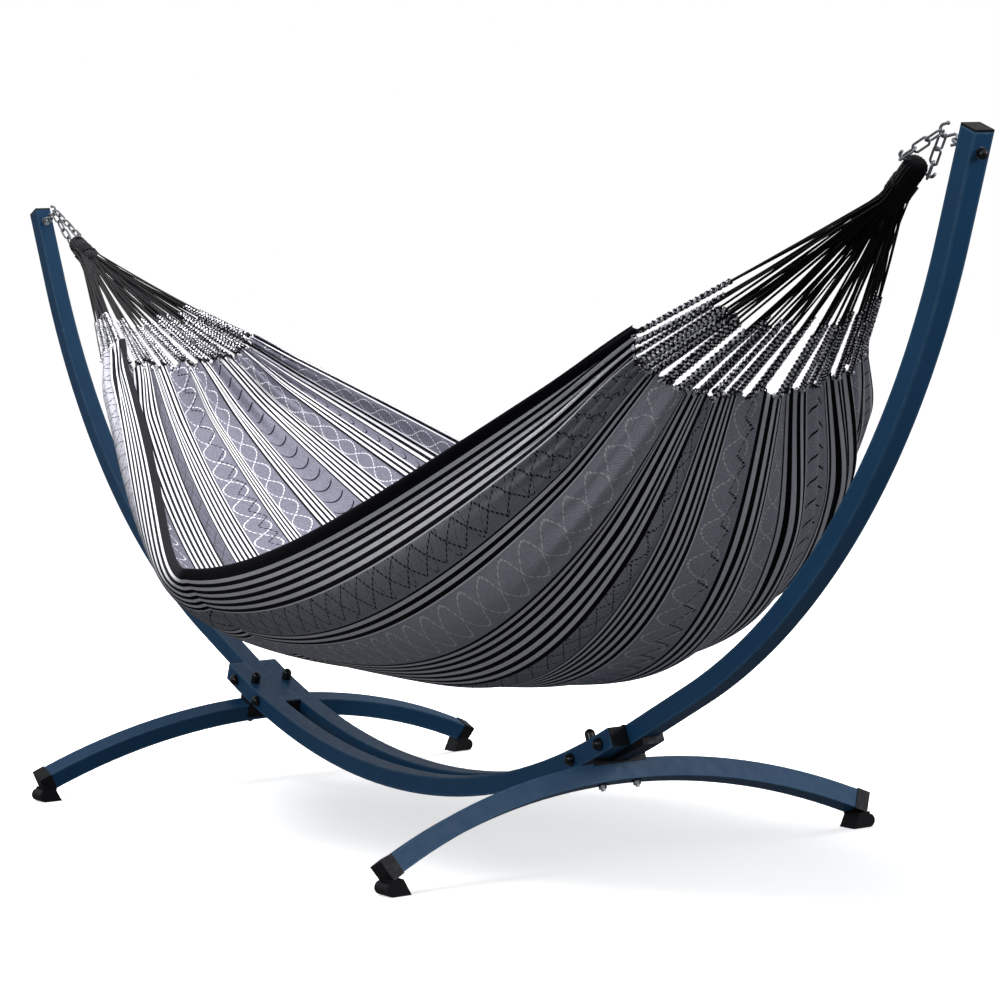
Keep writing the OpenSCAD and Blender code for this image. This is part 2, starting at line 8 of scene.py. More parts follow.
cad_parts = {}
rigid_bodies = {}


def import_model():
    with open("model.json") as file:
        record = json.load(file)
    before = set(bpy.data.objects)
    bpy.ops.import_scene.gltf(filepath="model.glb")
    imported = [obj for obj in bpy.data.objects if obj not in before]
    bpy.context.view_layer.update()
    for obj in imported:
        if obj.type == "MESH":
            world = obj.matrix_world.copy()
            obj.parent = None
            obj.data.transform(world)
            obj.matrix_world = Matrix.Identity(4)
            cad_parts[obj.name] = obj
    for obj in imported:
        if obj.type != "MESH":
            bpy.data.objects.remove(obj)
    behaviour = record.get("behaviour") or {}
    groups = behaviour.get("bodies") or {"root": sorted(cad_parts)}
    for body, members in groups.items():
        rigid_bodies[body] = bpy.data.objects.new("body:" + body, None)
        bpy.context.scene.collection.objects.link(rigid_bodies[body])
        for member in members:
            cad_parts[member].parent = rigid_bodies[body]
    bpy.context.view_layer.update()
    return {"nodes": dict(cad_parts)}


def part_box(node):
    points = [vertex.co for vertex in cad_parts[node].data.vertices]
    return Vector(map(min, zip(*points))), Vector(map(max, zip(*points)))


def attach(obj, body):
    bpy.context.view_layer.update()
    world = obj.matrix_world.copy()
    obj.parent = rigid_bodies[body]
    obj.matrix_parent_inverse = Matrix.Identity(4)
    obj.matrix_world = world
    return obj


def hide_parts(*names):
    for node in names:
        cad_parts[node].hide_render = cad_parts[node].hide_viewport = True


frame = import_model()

# Hammock on an arc stand. Metres; X along the hammock, Y across it, Z up.
# Side 1 is the right end and side -1 the left one. Both are worked out as right ends, then mirrored.
SIDE_NAMES = {-1: "left", 1: "right"}
ACROSS = np.array([0, 1.0, 0])

# ---------------------------------------------------------------- camera, floor and light
CAMERA_PLACE = Vector((5.959, -3.409, 1.084))
CAMERA_YAW = math.radians(58.847)
CAMERA_PITCH = math.radians(3.877)
CAMERA_ROLL = math.radians(-2.326)
CAMERA_LENS = 122.78
CAMERA_SENSOR = 36
CAMERA_SHIFT = (0.0008, 0.0055)
CAMERA_REACH = 100

WHITE = (1, 1, 1, 1)
SKY_COLOUR = (0.93, 0.96, 1.0, 1)
SKY_HEIGHTS = (-0.15, 0.8)
SKY_POWERS = (0.11, 0.66)
FLOOR_COLOUR = (0.86, 0.86, 0.87, 1)
FLOOR_GLOW = 0.62
FLOOR_HALF = 30.0


def add_object(name, data):
    obj = bpy.data.objects.new(name, data)
    bpy.context.scene.collection.objects.link(obj)
    return obj


def camera():
    cos_yaw, sin_yaw = math.cos(CAMERA_YAW), math.sin(CAMERA_YAW)
    cos_pitch, sin_pitch = math.cos(CAMERA_PITCH), math.sin(CAMERA_PITCH)
    cos_roll, sin_roll = math.cos(CAMERA_ROLL), math.sin(CAMERA_ROLL)
    back = Vector((sin_yaw * cos_pitch, -cos_yaw * cos_pitch, sin_pitch))
    level = Vector((cos_yaw, sin_yaw, 0))
    above = back.cross(level)
    right = cos_roll * level + sin_roll * above
    up = cos_roll * above - sin_roll * level
    data = bpy.data.cameras.new("camera")
    data.lens = CAMERA_LENS
    data.sensor_width = CAMERA_SENSOR
    data.shift_x, data.shift_y = CAMERA_SHIFT
    data.clip_end = CAMERA_REACH
    turn = Matrix((right, up, back)).transposed().to_4x4()
    obj = add_object("camera", data)
    obj.matrix_world = Matrix.Translation(CAMERA_PLACE) @ turn
    bpy.context.scene.camera = obj


def area_light(name, place, target, size, power, colour, lit):
    """Soft box that lights only the objects in lit."""
    data = bpy.data.lights.new(name, "AREA")
    data.shape = "RECTANGLE"
    data.size, data.size_y = size
    data.energy = power
    data.color = colour
    obj = add_object(name, data)
    obj.location = place
    obj.rotation_euler = (Vector(target) - Vector(place)).to_track_quat("-Z", "Y").to_euler()
    group = bpy.data.collections.new(name + "_lit")
    for receiver in lit:
        group.objects.link(receiver)
    obj.light_linking.receiver_collection = group


def sky():
    """White behind the scene, and a cool light from all round that is stronger from higher up."""
    world = bpy.data.worlds.new("studio")
    bpy.context.scene.world = world
    world.use_nodes = True
    tree = world.node_tree
    tree.nodes.clear()
    kinds = ("OutputWorld", "MixShader", "LightPath", "Background", "Background", "TexCoord", "SeparateXYZ",
             "MapRange")
    out, mix, path, seen, lit, coords, split, height = (tree.nodes.new("ShaderNode" + k) for k in kinds)
    seen.inputs["Color"].default_value = WHITE
    seen.inputs["Strength"].default_value = 1.0
    lit.inputs["Color"].default_value = SKY_COLOUR
    height.inputs["From Min"].default_value, height.inputs["From Max"].default_value = SKY_HEIGHTS
    height.inputs["To Min"].default_value, height.inputs["To Max"].default_value = SKY_POWERS
    tree.links.new(coords.outputs["Generated"], split.inputs[0])
    tree.links.new(split.outputs["Z"], height.inputs["Value"])
    tree.links.new(height.outputs[0], lit.inputs["Strength"])
    tree.links.new(path.outputs["Is Camera Ray"], mix.inputs[0])
    tree.links.new(lit.outputs[0], mix.inputs[1])
    tree.links.new(seen.outputs[0], mix.inputs[2])
    tree.links.new(mix.outputs[0], out.inputs[0])


def pale_floor():
    """Wide floor with a glow of its own, so that it stays near white; it throws no light on the object."""
    corners = [(x * FLOOR_HALF, y * FLOOR_HALF, 0) for x, y in ((-1, -1), (1, -1), (1, 1), (-1, 1))]
    mesh = bpy.data.meshes.new("floor")
    mesh.from_pydata(corners, [], [(0, 1, 2, 3)])
    floor = add_object("floor", mesh)
    mat = Shader("floor_paint")
    mat.set("Base Color", FLOOR_COLOUR)
    mat.set("Roughness", 0.9)
    mat.set("Specular IOR Level", 0.0)
    mat.set("Emission Color", WHITE)
    mat.set("Emission Strength", FLOOR_GLOW)
    mesh.materials.append(mat.material)
    floor.visible_diffuse = False
    floor.visible_glossy = False
    return floor


def lights(stand, plaits, soft):
    """A high soft box over the cloth, cords and floor, and two more for the stand and the plaits."""
    area_light("key", place=(-1.2, -0.4, 4.2), target=(-0.5, 0.1, 0.6), size=(4.0, 3.0), power=400,
               colour=(1.0, 0.99, 0.98), lit=soft)
    area_light("front", place=(2.5, -5.5, 2.6), target=(0, 0, 0.7), size=(3.0, 2.2), power=52,
               colour=(0.95, 0.97, 1.0), lit=stand + plaits)
    area_light("side", place=(5.0, 2.8, 2.6), target=(1.8, 0, 1.2), size=(1.6, 2.6), power=75,
               colour=(0.96, 0.98, 1.0), lit=stand + plaits)


# ---------------------------------------------------------------- materials
NAVY = (0.010, 0.072, 0.172, 1)
NAVY_LIGHTER = (0.013, 0.084, 0.196, 1)
# Painted highlight: paler navy for the edges of the tubes
NAVY_EDGE_HIGHLIGHT = (0.130, 0.290, 0.480, 1)
BLACK = (0.004, 0.004, 0.005, 1)
BLACK_LIGHTER = (0.010, 0.010, 0.012, 1)
ZINC_DULL = (0.30, 0.31, 0.33, 1)
ZINC_BRIGHT = (0.58, 0.59, 0.61, 1)
BLACK_YARN_DARK = (0.002, 0.002, 0.003, 1)
WHITE_YARN_DARK = (0.66, 0.66, 0.72, 1)
WHITE_YARN_LIGHT = (0.95, 0.95, 1.0, 1)
YARN_FLECK = (0.006, 0.006, 0.010, 1)
EDGE_ROUNDING = 0.006
# Cosine between the flat and the rounded normal: at the edge of a flat face, and on an edge
EDGE_COSINES = (0.985, 0.80)
GRAIN = 0.0002
FIBRE_RELIEF = 0.0006


class Shader:
    """A Principled material and the nodes that feed it. An input is a number, a tuple or an output socket."""

    def __init__(self, name):
        self.material = bpy.data.materials.new(name)
        self.material.use_nodes = True
        self.tree = self.material.node_tree
        self.tree.nodes.clear()
        out = self.tree.nodes.new("ShaderNodeOutputMaterial")
        self.surface = self.tree.nodes.new("ShaderNodeBsdfPrincipled")
        self.tree.links.new(self.surface.outputs[0], out.inputs[0])

    def feed(self, socket, value):
        if isinstance(value, bpy.types.NodeSocket):
            self.tree.links.new(value, socket)
        else:
            socket.default_value = value

    def set(self, name, value):
        self.feed(self.surface.inputs[name], value)

    def node(self, kind, **inputs):
        node = self.tree.nodes.new(kind)
        for key, value in inputs.items():
            self.feed(node.inputs[key.replace("_", " ")], value)
        return node

    def math(self, operation, a, b=0.0, c=0.0):
        node = self.tree.nodes.new("ShaderNodeMath")
        node.operation = operation
        for socket, value in zip(node.inputs, (a, b, c)):
            self.feed(socket, value)
        return node.outputs[0]

    def mix(self, factor, a, b):
        """Colour between a, where the factor is 0, and b, where it is 1."""
        node = self.tree.nodes.new("ShaderNodeMix")
        node.data_type = "RGBA"
        self.feed(node.inputs[0], factor)
        self.feed(node.inputs[6], a)
        self.feed(node.inputs[7], b)
        return node.outputs[2]

    def spread(self, value, low, high, to_low=0.0, to_high=1.0):
        node = self.node("ShaderNodeMapRange", Value=value)
        for key, number in (("From Min", low), ("From Max", high), ("To Min", to_low), ("To Max", to_high)):
            node.inputs[key].default_value = number
        return node.outputs[0]

    def noise(self, scale, detail=2.0):
        place = self.node("ShaderNodeTexCoord").outputs["Object"]
        return self.node("ShaderNodeTexNoise", Vector=place, Scale=scale, Detail=detail).outputs[0]

    def bump(self, height, distance, strength, normal=None):
        node = self.node("ShaderNodeBump", Height=height, Distance=distance, Strength=strength)
        if normal:
            self.feed(node.inputs["Normal"], normal)
        self.set("Normal", node.outputs[0])

    def rounded(self, radius):
        """Normal with the sharp edges rounded off, and how near an edge is: 1 on it, 0 on flat faces."""
        bevel = self.tree.nodes.new("ShaderNodeBevel")
        bevel.samples = 4
        bevel.inputs["Radius"].default_value = radius
        flat = self.node("ShaderNodeNewGeometry").outputs["True Normal"]
        dot = self.tree.nodes.new("ShaderNodeVectorMath")
        dot.operation = "DOT_PRODUCT"
        self.feed(dot.inputs[0], bevel.outputs[0])
        self.feed(dot.inputs[1], flat)
        return bevel.outputs[0], self.spread(dot.outputs["Value"], *EDGE_COSINES)


def powder_coat():
    """Cloudy navy paint with a fine grain, paler along the edges: a painted highlight where the rounded
    corners catch the light.
    """
    mat = Shader("navy_powder_coat")
    cloud = mat.spread(mat.noise(9.0, 3.0), 0.3, 0.7)
    normal, edge = mat.rounded(EDGE_ROUNDING)
    # Painted highlight: paler navy mixed in near the edges, broken up by noise
    edge_highlight = mat.math("MULTIPLY", edge, mat.spread(mat.noise(35.0, 3.0), 0.35, 0.65, 0.6, 1.0))
    mat.set("Base Color", mat.mix(edge_highlight, mat.mix(cloud, NAVY, NAVY_LIGHTER), NAVY_EDGE_HIGHLIGHT))
    mat.set("Roughness", mat.spread(mat.noise(60.0), 0.3, 0.7, 0.42, 0.52))
    mat.set("Specular IOR Level", 0.3)
    mat.set("Coat Weight", 0.08)
    mat.set("Coat Roughness", 0.3)
    mat.bump(mat.noise(900.0, 1.0), GRAIN, strength=0.35, normal=normal)
    return mat.material


def moulding():
    """Dull black plastic."""
    mat = Shader("black_moulding")
    mat.set("Base Color", mat.mix(mat.noise(40.0, 3.0), BLACK, BLACK_LIGHTER))
    mat.set("Roughness", mat.spread(mat.noise(120.0), 0.3, 0.7, 0.38, 0.55))
    mat.set("Specular IOR Level", 0.3)
    mat.bump(mat.noise(1500.0, 1.0), GRAIN, strength=0.5)
    return mat.material


def gloss_cap():
    """Glossy black plastic."""
    mat = Shader("black_cap")
    mat.set("Base Color", mat.mix(mat.noise(60.0), BLACK, BLACK_LIGHTER))
    mat.set("Roughness", mat.spread(mat.noise(200.0), 0.3, 0.7, 0.12, 0.22))
    mat.bump(mat.noise(300.0, 1.0), GRAIN, strength=0.15)
    return mat.material


def zinc():
    """Zinc-plated steel with dull and bright spots."""
    mat = Shader("zinc_steel")
    spots = mat.noise(260.0, 3.0)
    mat.set("Base Color", mat.mix(mat.spread(spots, 0.35, 0.65), ZINC_DULL, ZINC_BRIGHT))
    mat.set("Metallic", 1.0)
    mat.set("Roughness", mat.spread(spots, 0.3, 0.7, 0.22, 0.42))
    mat.bump(mat.noise(700.0, 2.0), GRAIN, strength=0.3)
    return mat.material


def yarn(name, dark, light, sheen, flecks):
    """Spun cotton yarn: fine fibres, black flecks over a part of it, and a soft sheen."""
    mat = Shader(name)
    fibre = mat.noise(2600.0, 3.0)
    spun = mat.mix(mat.spread(fibre, 0.3, 0.7), dark, light)
    fleck = mat.spread(mat.noise(210.0, 2.0), 0.63 - flecks, 0.69 - flecks)
    mat.set("Base Color", mat.mix(fleck, spun, YARN_FLECK))
    mat.set("Roughness", 0.9)
    mat.set("Specular IOR Level", 0.2)
    mat.set("Sheen Weight", sheen)
    mat.set("Sheen Roughness", 0.5)
    mat.bump(fibre, FIBRE_RELIEF, strength=0.6)
    return mat.material


# ---------------------------------------------------------------- hammock shape, as in the CAD
BED_LOW, BED_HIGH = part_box("hammock_bed")
BED_END = {1: BED_HIGH.x, -1: -BED_LOW.x}
BED_EDGE_Z = {1: 0.990, -1: 0.973}
BED_END_LOW_Z = {1: 0.859, -1: 0.906}
BED_END_HALF_WIDTH = {1: 0.249, -1: 0.185}
BED_MID_EDGE_Z = 0.541
BED_MID_LOW_Z = BED_LOW.z
BED_HALF_WIDTH = BED_HIGH.y
MID_BEND = 0.16
# Powers of u: how late the full right half narrows and rises, and the taut left half rises
FULL_NARROWING = 3
FULL_RISING = 1.8
TAUT_RISING = 0.88
LOW_RISING = {1: 4.8, -1: 1.6}
# The section: its power at mid-length and at the ends, and how far the left end's near edge leans in
MID_POWER = 1.23
END_POWER = {1: 0.83, -1: 0.87}
POWER_CHANGE = 0.7
LEAN = {1: 0.0, -1: math.radians(40)}
LEAN_CHANGE = 0.4
CLOTH_INSET = 0.002

CORDS = 27
CORD_ROWS = 3
CORD_PITCH = 0.0045
BUNDLE_LENGTH = 0.072
PIN = {1: Vector((1.6424, 0, 1.2280)), -1: Vector((1.5879, 0, 1.1964))}
# The w on the cloth's end at whose height a bundle points
AIM_W = 0.4
FINE_W = np.linspace(-1, 1, 401)
CORD_W = -0.97 + 1.94 * np.arange(CORDS) / (CORDS - 1)


def taut(u):
    """0 at mid-length and 1 at the end: nearly straight, with a rounded bend at mid-length."""
    return (math.hypot(u, MID_BEND) - MID_BEND) / (math.hypot(1, MID_BEND) - MID_BEND)


def signed_pow(x, power):
    return np.sign(x) * np.abs(x) ** power


def bed_point(side, u, w):
    """Point of the cloth in the right end's frame: u from mid-length to the end, w from edge to edge."""
    w = np.asarray(w, float)
    if side > 0:
        narrowing, rising = u ** FULL_NARROWING, u ** FULL_RISING
    else:
        narrowing, rising = taut(u), taut(u) ** TAUT_RISING
    half = BED_HALF_WIDTH + (BED_END_HALF_WIDTH[side] - BED_HALF_WIDTH) * narrowing
    edge = BED_MID_EDGE_Z + (BED_EDGE_Z[side] - BED_MID_EDGE_Z) * rising
    low = BED_MID_LOW_Z + (BED_END_LOW_Z[side] - BED_MID_LOW_Z) * u ** LOW_RISING[side]
    low = low + CLOTH_INSET
    power = MID_POWER + (END_POWER[side] - MID_POWER) * u ** POWER_CHANGE
    quarter = math.pi / 2
    turn = np.where(w < 0, quarter + LEAN[side] * u ** LEAN_CHANGE, quarter)
    rise = (1 - signed_pow(np.cos(turn * w), power)) / (1 - signed_pow(np.cos(turn), power))
    out = signed_pow(np.sin(turn * w), power)
    along = np.full_like(w, u * BED_END[side])
    return np.stack([along, (half - CLOTH_INSET) * out, low + (edge - low) * rise], -1)


def lengths_of(path):
    """Length reached at each point of a path."""
    steps = np.linalg.norm(np.diff(path, axis=0), axis=1)
    return np.concatenate([[0], np.cumsum(steps)])


def arc_shares(path):
    """Share of the length reached at each point of a path."""
    reached = lengths_of(path)
    return reached / reached[-1]


def cord_shares():
    """Where the cords meet the cloth, as shares of its width: the mean of both ends."""
    found = [np.interp(CORD_W, FINE_W, arc_shares(bed_point(side, 1.0, FINE_W))) for side in SIDE_NAMES]
    return np.mean(found, axis=0)


# ---------------------------------------------------------------- shape of the cloth
CLOTH_WIDTH = 1.25
CLOTH_THICKNESS = 0.0016
CORD_SHARES = cord_shares()
# Columns of the cloth, counted in cords: so many from cord to cord, and so many beyond the last ones
COLUMNS_PER_CORD = 8
EDGE_COLUMNS = 5
LAST_COLUMN = (CORDS - 1) * COLUMNS_PER_CORD + EDGE_COLUMNS
COLUMN_Q = np.arange(-EDGE_COLUMNS, LAST_COLUMN + 1) / COLUMNS_PER_CORD
ROWS = 231
ROW_CROWDING = 1.25
# How deep the cloth's forms are: pleats between cords, folds, slow drift, and the scallops of its ends
PLEAT = 0.0110
PLEAT_VARIES = (0.7, 1.25)
FOLD = 0.0095
DRIFT = 0.006
SCALLOP = 0.016
WAVER = 0.015
# Where along the half length the forms start and are full, and the share of the width over which they
# fade out at a selvedge
PLEAT_START = (0.62, 0.82)
PLEAT_FULL = 1.02
FOLD_REACH = (0.12, 0.95)
SCALLOP_REACH = (0.86, 1.0)
SELVEDGE = 0.03
CLOTH_SEED = 5


def smooth(low, high, x):
    t = np.clip((x - low) / (high - low), 0, 1)
    return t * t * (3 - 2 * t)


def waves(x, seed, count, low, high):
    """Smooth irregular wave: a few sines, each with between low and high periods over the whole."""
    rng = np.random.default_rng(seed)
    out = np.zeros_like(x)
    for _ in range(count):
        out += np.sin(2 * np.pi * (rng.uniform(low, high) * x + rng.uniform()))
    return out / math.sqrt(count)


def column_shares():
    """Share of the cloth's width at each column."""
    inside = np.interp(COLUMN_Q, np.arange(CORDS), CORD_SHARES)
    before = np.clip(-COLUMN_Q, 0, None) / -COLUMN_Q[0]
    after = np.clip(COLUMN_Q - (CORDS - 1), 0, None) / (COLUMN_Q[-1] - CORDS + 1)
    return inside - before * CORD_SHARES[0] + after * (1 - CORD_SHARES[-1])


def row_places():
    """Signed u of each row, closer together towards the ends."""
    p = np.linspace(-1, 1, ROWS)
    return np.sign(p) * (1 - (1 - np.abs(p)) ** ROW_CROWDING)


def plain_grid(us, shares):
    """Points of the smooth cloth by row and column."""
    rows = []
    for u in us:
        side = 1 if u >= 0 else -1
        reached = arc_shares(bed_point(side, abs(u), FINE_W))
        row = bed_point(side, abs(u), np.interp(shares, reached, FINE_W))
        row[:, 0] *= side
        rows.append(row)
    return np.array(rows)


def inward_normals(grid):
    """Unit normals on the cloth's upper side."""
    inward = np.cross(np.gradient(grid, axis=1), np.gradient(grid, axis=0))
    inward /= np.linalg.norm(inward, axis=2, keepdims=True)
    return inward * np.sign(np.median(inward[ROWS // 2, :, 2]))


def relief(side, shares, reach, rng):
    """How far one half of the cloth moves off its smooth shape: inward, and back from its end."""
    starts = np.interp(COLUMN_Q, np.arange(CORDS), rng.uniform(*PLEAT_START, CORDS))
    depth = np.interp(COLUMN_Q, np.arange(CORDS), rng.uniform(*PLEAT_VARIES, CORDS))
    flute = np.cos(2 * np.pi * COLUMN_Q)
    folds = waves(shares, seed=20 + side, count=4, low=5, high=10)
    drift = waves(shares, seed=30 + side, count=3, low=2.5, high=5)
    waver = waves(shares, seed=40 + side, count=3, low=3, high=7)
    move = PLEAT * depth * smooth(starts, PLEAT_FULL, reach) * flute
    move = move + FOLD * smooth(*FOLD_REACH, reach) * folds
    move = move + DRIFT * np.sin(np.pi * np.clip(reach, 0, 1)) ** 2 * drift
    back = SCALLOP * depth * (1 - flute) / 2 + WAVER * (1 + waver)
    return move, back * smooth(*SCALLOP_REACH, reach)


def cloth_grid():
    """Points of the cloth by row and column, with its flat coordinates."""
    us = row_places()
    shares = column_shares()
    plain = plain_grid(us, shares)
    reach = np.abs(us)[:, None]
    ends = np.sign(us)[:, None]
    rng = np.random.default_rng(CLOTH_SEED)
    shift = np.zeros(plain.shape[:2])
    recess = np.zeros(plain.shape[:2])
    for side in SIDE_NAMES:
        move, back = relief(side, shares, reach, rng)
        shift = np.where(ends == side, move, shift)
        recess = np.where(ends == side, back, recess)
    keep = smooth(0.0, SELVEDGE, shares) * smooth(0.0, SELVEDGE, 1 - shares)
    points = plain + inward_normals(plain) * (shift * keep)[:, :, None]
    points[:, :, 0] -= ends * np.clip(recess, 0, None)

    length = lengths_of(plain.mean(axis=1))
    length -= np.interp(0, us, length)
    flat = np.stack(np.meshgrid(length, shares * CLOTH_WIDTH, indexing="ij"), -1)
    return points, flat


# ---------------------------------------------------------------- woven cloth
# Bands from the near selvedge: where each ends, counted in stripe pairs, and its kind
PAIRS = 78
PLAIN, STRIPES, DARK_NET, PALE_NET, BOTH_NETS, ARCHES = 0.0, 0.2, 0.4, 0.6, 0.8, 1.0
KIND_GAP = 0.05
BANDS = [(1.5, PLAIN), (6.5, STRIPES), (11, DARK_NET), (13.5, STRIPES), (20, PALE_NET), (26.5, STRIPES),
         (29, DARK_NET), (34.5, STRIPES), (41, BOTH_NETS), (44.5, STRIPES), (49, PALE_NET), (52.5, STRIPES),
         (58, ARCHES), (63.5, STRIPES), (67, PALE_NET), (69.5, STRIPES), (71, ARCHES), (73.5, STRIPES),
         (76.5, PALE_NET), (78, STRIPES)]
BLACK_SHARE = 0.52
THREAD_STEP = 0.0030
WARP_STEP = 0.0016
WEFT_STEP = 0.0021
STITCH_STEP = 0.007
STITCH_SHARE = 0.68
ARCH_HALF = 0.8
WEAVE_RELIEF = 0.0005

INK = (0.004, 0.004, 0.008, 1)
CHALK = (0.92, 0.92, 0.96, 1)
STRIPE_BLACK = (0.003, 0.003, 0.006, 1)
STRIPE_WHITE = (0.90, 0.90, 0.95, 1)
GROUND_DARK = (0.05, 0.05, 0.07, 1)
# Pale threads of the jacquard ground, from the darker to the lighter ones; the outside's are darkened as
# painted shade
INSIDE_THREADS = ((0.60, 0.60, 0.69, 1), (0.88, 0.88, 0.97, 1))
SHADED_OUTSIDE_THREADS = ((0.16, 0.16, 0.21, 1), (0.32, 0.32, 0.40, 1))


def band_ramp(mat, share):
    """Middle, half width and kind of the band at a share of the width."""
    ramp = mat.node("ShaderNodeValToRGB", Fac=share)
    ramp.color_ramp.interpolation = "CONSTANT"
    stops = ramp.color_ramp.elements
    start = 0.0
    for k, (end, kind) in enumerate(BANDS):
        stop = stops[k] if k < 2 else stops.new(start / PAIRS)
        stop.position = start / PAIRS
        stop.color = ((start + end) / 2 / PAIRS, (end - start) / 2 / PAIRS, kind, 1)
        start = end
    return mat.node("ShaderNodeSeparateColor", Color=ramp.outputs[0]).outputs[:3]


def net_line(mat, local, along, period, reach, thick, curved, offset=0.0):
    """1 on a zigzag or wavy line that runs along a band."""
    phase = mat.math("ADD", mat.math("DIVIDE", along, period), offset)
    if curved:
        swing = mat.math("SINE", mat.math("MULTIPLY", phase, 2 * math.pi))
    else:
        swing = mat.math("SUBTRACT", mat.math("MULTIPLY", mat.math("PINGPONG", phase, 0.5), 4), 1)
    gap = mat.math("ABSOLUTE", mat.math("SUBTRACT", local, mat.math("MULTIPLY", swing, reach)))
    return mat.math("LESS_THAN", gap, thick)


def crossed_lines(mat, local, along, **shape):
    """1 on either of two net lines half a period apart."""
    lines = [net_line(mat, local, along, offset=offset, **shape) for offset in (0.0, 0.5)]
    return mat.math("MAXIMUM", *lines)


def arch_line(mat, local, along, period, bend, thick):
    """1 on a row of arches, one after the other along a band."""
    bent = mat.math("MULTIPLY", mat.math("MULTIPLY", local, local), bend)
    phase = mat.math("FRACT", mat.math("ADD", mat.math("DIVIDE", along, period), bent))
    inside = mat.math("LESS_THAN", mat.math("ABSOLUTE", local), ARCH_HALF)
    return mat.math("MULTIPLY", mat.math("LESS_THAN", phase, thick), inside)


def by_turns(mat, place, step, share):
    """1 over the first share of each step along a line."""
    return mat.math("LESS_THAN", mat.math("FRACT", mat.math("MULTIPLY", place, 1 / step)), share)


def woven_cloth(name, threads):
    """One face of the cloth: stripes and nets over a jacquard ground whose pale threads are given per face,
    darker on the outside as painted shade.
    """
    mat = Shader(name)
    uv = mat.node("ShaderNodeUVMap")
    uv.uv_map = "flat"
    along, across = mat.node("ShaderNodeSeparateXYZ", Vector=uv.outputs[0]).outputs[:2]
    share = mat.math("DIVIDE", across, CLOTH_WIDTH)
    middle, half, kind = band_ramp(mat, share)
    local = mat.math("DIVIDE", mat.math("SUBTRACT", share, middle), half)

    # Stripes, and the ground of dark and pale threads by turns, both ways
    stripe_black = by_turns(mat, share, 1 / PAIRS, BLACK_SHARE)
    stripes = mat.mix(stripe_black, STRIPE_WHITE, STRIPE_BLACK)
    dark_rows = [by_turns(mat, way, THREAD_STEP, 0.5) for way in (along, across)]
    checks = mat.math("ABSOLUTE", mat.math("SUBTRACT", *dark_rows))
    speck = mat.noise(420.0, 2.0)
    # Ground threads: on the outside face their colours are darkened as painted shade
    pale = mat.mix(mat.spread(speck, 0.35, 0.65), *threads)
    ground = mat.mix(mat.math("MULTIPLY", checks, 0.75), pale, GROUND_DARK)

    # Nets, drawn in short stitches
    zigzag = crossed_lines(mat, local, along, period=0.11, reach=0.86, thick=0.066, curved=False)
    wavy = crossed_lines(mat, local, along, period=0.12, reach=0.78, thick=0.048, curved=True)
    lace = net_line(mat, local, along, period=0.065, reach=0.95, thick=0.045, curved=True)
    arches = arch_line(mat, local, along, period=0.042, bend=0.55, thick=0.10)
    stitch = by_turns(mat, along, STITCH_STEP, STITCH_SHARE)
    zigzag, wavy, lace = (mat.math("MULTIPLY", line, stitch) for line in (zigzag, wavy, lace))
    dark_net = mat.mix(mat.math("MAXIMUM", zigzag, lace), mat.mix(0.25, ground, INK), INK)
    pale_net = mat.mix(wavy, ground, CHALK)
    far_half = mat.math("GREATER_THAN", local, 0.0)
    both_nets = mat.mix(mat.math("MULTIPLY", zigzag, far_half), pale_net, INK)
    arched = mat.mix(arches, ground, INK)

    colour = INK
    for wanted, look in ((STRIPES, stripes), (DARK_NET, dark_net), (PALE_NET, pale_net),
                         (BOTH_NETS, both_nets), (ARCHES, arched)):
        colour = mat.mix(mat.math("COMPARE", kind, wanted, KIND_GAP), colour, look)
    mat.set("Base Color", colour)
    mat.set("Roughness", 0.88)
    mat.set("Specular IOR Level", 0.12)
    mat.set("Sheen Weight", 0.02)
    mat.set("Sheen Roughness", 0.6)
    warp = mat.math("SINE", mat.math("MULTIPLY", across, 2 * math.pi / WARP_STEP))
    weft = mat.math("SINE", mat.math("MULTIPLY", along, 2 * math.pi / WEFT_STEP))
    weave = mat.math("MULTIPLY_ADD", warp, 0.5, mat.math("MULTIPLY", weft, 0.5))
    mat.bump(mat.math("ADD", weave, mat.math("MULTIPLY", speck, 0.8)), WEAVE_RELIEF, strength=0.5)
    return mat.material


def mesh_piece(name, points, faces, materials, indices=None):
    mesh = bpy.data.meshes.new(name)
    mesh.from_pydata([tuple(p) for p in points], [], faces)
    for material in materials:
        mesh.materials.append(material)
    if indices is not None:
        mesh.polygons.foreach_set("material_index", np.asarray(indices, np.int32))
    mesh.polygons.foreach_set("use_smooth", np.ones(len(mesh.polygons), bool))
    mesh.update()
    return add_object(name, mesh)


def hammock_cloth():
    """The cloth, with its flat coordinates as a UV map, and its points by row and column."""
    points, flat = cloth_grid()
    rows, columns = points.shape[:2]
    index = np.arange(rows * columns).reshape(rows, columns)
    quads = np.stack([index[:-1, :-1], index[:-1, 1:], index[1:, 1:], index[1:, :-1]], -1).reshape(-1, 4)
    inside = woven_cloth("woven_cloth_inside", INSIDE_THREADS)
    # The outside copy has much darker ground threads: painted shade on the underside
    outside = woven_cloth("woven_cloth_outside_painted_shade", SHADED_OUTSIDE_THREADS)
    cloth = mesh_piece("hammock_cloth", points.reshape(-1, 3), quads.tolist(), [inside, outside])
    layer = cloth.data.uv_layers.new(name="flat")
    corners = np.empty(len(cloth.data.loops), np.int32)
    cloth.data.loops.foreach_get("vertex_index", corners)
    layer.data.foreach_set("uv", flat.reshape(-1, 2)[corners].astype(np.float32).ravel())
    solid = cloth.modifiers.new("thickness", "SOLIDIFY")
    solid.thickness = CLOTH_THICKNESS
    solid.offset = 0
    solid.material_offset = 1
    return cloth, points


# ---------------------------------------------------------------- cords and plaits
# Plaits, counted in cords: one at each cord, and a second row halfway between the inner ones
PLAIT_Q = np.sort(np.concatenate([np.arange(CORDS), np.arange(4, CORDS - 5) + 0.5]))
